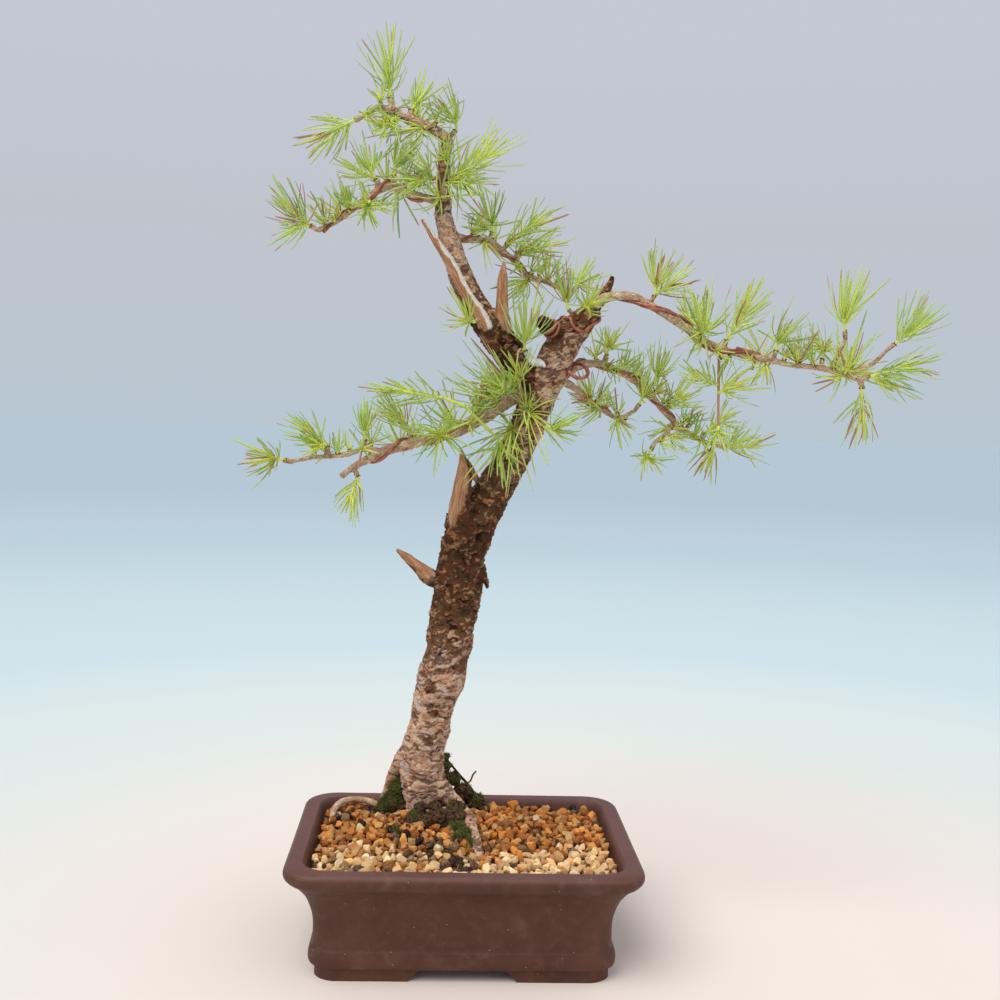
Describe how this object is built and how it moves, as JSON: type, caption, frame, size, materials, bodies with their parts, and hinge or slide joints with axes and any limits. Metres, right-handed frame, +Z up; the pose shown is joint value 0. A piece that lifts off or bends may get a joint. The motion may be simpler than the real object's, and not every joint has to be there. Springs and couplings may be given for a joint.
{
  "type": "potted larch bonsai",
  "caption": "Small trained larch tree with a leaning trunk, wired branches and needle tufts, rooted in gritty soil in a shallow rounded rectangular clay pot.",
  "frame": {"origin": "on the surface the pot stands on, under the middle of the whole object's box", "axes": "+Z up; +Y from the front of the pot to its back, the object's short way; +X to the right in the front view, the way the trunk leans"},
  "size_m": [0.3449, 0.1478, 0.4551],
  "materials": {
    "fired_clay": "matte",
    "bonsai_soil": "matte",
    "screen_plastic": "matte",
    "bark": "matte",
    "needles": "satin",
    "copper_wire": "satin"
  },
  "bodies": {
    "root": {"drain_screen_left": "screen_plastic", "drain_screen_right": "screen_plastic", "pot": "fired_clay", "soil": "bonsai_soil", "spray_apex_front": "needles", "spray_apex_leader": "needles", "spray_apex_left": "needles", "spray_apex_right": "needles", "spray_apex_spur": "needles", "spray_crown_back": "needles", "spray_crown_front": "needles", "spray_crown_right": "needles", "spray_fork_end": "needles", "spray_fork_front": "needles", "spray_fork_left": "needles", "spray_fork_up": "needles", "spray_green_shoot": "needles", "spray_hanging_twig": "needles", "spray_knob_front": "needles", "spray_knob_top": "needles", "spray_lower_left_a": "needles", "spray_lower_left_b": "needles", "spray_lower_left_c": "needles", "spray_lower_left_down": "needles", "spray_lower_left_front": "needles", "spray_lower_left_tip": "needles", "spray_lower_right_a": "needles", "spray_lower_right_b": "needles", "spray_lower_right_c": "needles", "spray_lower_right_d": "needles", "spray_lower_right_tip": "needles", "spray_lower_right_twig": "needles", "spray_middle_a": "needles", "spray_middle_b": "needles", "spray_middle_c": "needles", "spray_middle_end": "needles", "spray_right_a": "needles", "spray_right_b": "needles", "spray_right_back": "needles", "spray_right_c": "needles", "spray_right_d": "needles", "spray_right_e": "needles", "spray_right_end_down": "needles", "spray_right_end_front": "needles", "spray_right_end_tip": "needles", "spray_right_end_twig": "needles", "spray_right_twig": "needles", "spray_trunk_front": "needles", "spray_upper_left_a": "needles", "spray_upper_left_b": "needles", "spray_upper_left_c": "needles", "spray_upper_left_tip": "needles", "tree": "bark", "wire_lower_left": "copper_wire", "wire_lower_right": "copper_wire", "wire_lower_right_fork": "copper_wire", "wire_middle": "copper_wire", "wire_right_inner": "copper_wire", "wire_right_outer": "copper_wire", "wire_upper_left": "copper_wire"}
  },
  "joints": []
}
